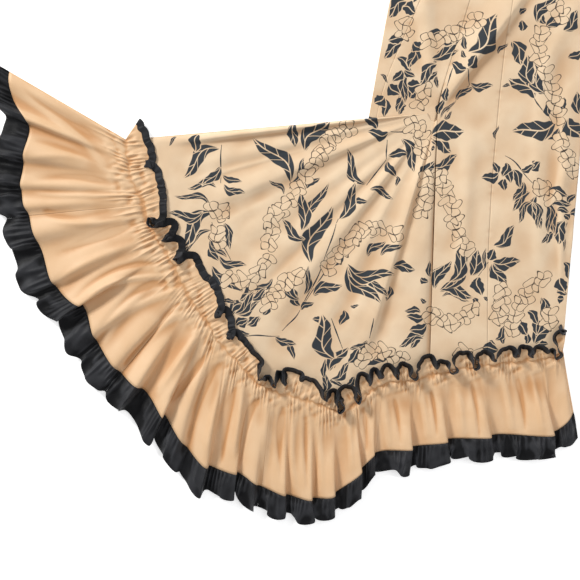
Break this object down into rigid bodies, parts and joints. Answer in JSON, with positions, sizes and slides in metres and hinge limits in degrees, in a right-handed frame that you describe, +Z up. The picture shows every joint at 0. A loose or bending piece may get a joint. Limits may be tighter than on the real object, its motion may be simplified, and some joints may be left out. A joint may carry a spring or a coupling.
{
  "type": "holomuu dress laid flat",
  "caption": "Long fitted dress of printed cotton laid flat with its back up, its godet train spread to one side, with a gathered flounce, a bound standing header and a gathered hem ruffle.",
  "frame": {"origin": "middle of the dress's box on the surface it lies on", "axes": "+Z up from the surface, +Y from the hem towards the neck, +X towards the dress's right side as it lies back up; the train spreads towards -X"},
  "size_m": [1.4656, 1.7396, 0.0292],
  "materials": {
    "printed_cotton": "peach cotton with a charcoal leaf and lei print",
    "plain_cotton": "plain peach cotton with a soft sheen",
    "black_cotton": "black cotton, matt"
  },
  "bodies": {
    "root": {"front_panel": "printed_cotton", "side_back_left": "printed_cotton", "centre_back_left": "printed_cotton", "centre_back_right": "printed_cotton", "side_back_right": "printed_cotton", "sleeve_left": "printed_cotton", "sleeve_right": "printed_cotton", "train_panel": "printed_cotton", "train_under": "printed_cotton", "flounce_under_1": "plain_cotton", "flounce_under_2": "plain_cotton", "flounce_under_3": "plain_cotton", "hem_ruffle_under_1": "black_cotton", "hem_ruffle_under_2": "black_cotton", "hem_ruffle_under_3": "black_cotton", "flounce_1": "plain_cotton", "flounce_2": "plain_cotton", "flounce_3": "plain_cotton", "flounce_4": "plain_cotton", "flounce_5": "plain_cotton", "header_binding_1": "black_cotton", "header_binding_2": "black_cotton", "header_binding_3": "black_cotton", "header_binding_4": "black_cotton", "header_binding_5": "black_cotton", "hem_ruffle_1": "black_cotton", "hem_ruffle_2": "black_cotton", "hem_ruffle_3": "black_cotton", "hem_ruffle_4": "black_cotton", "hem_ruffle_5": "black_cotton"}
  },
  "joints": []
}
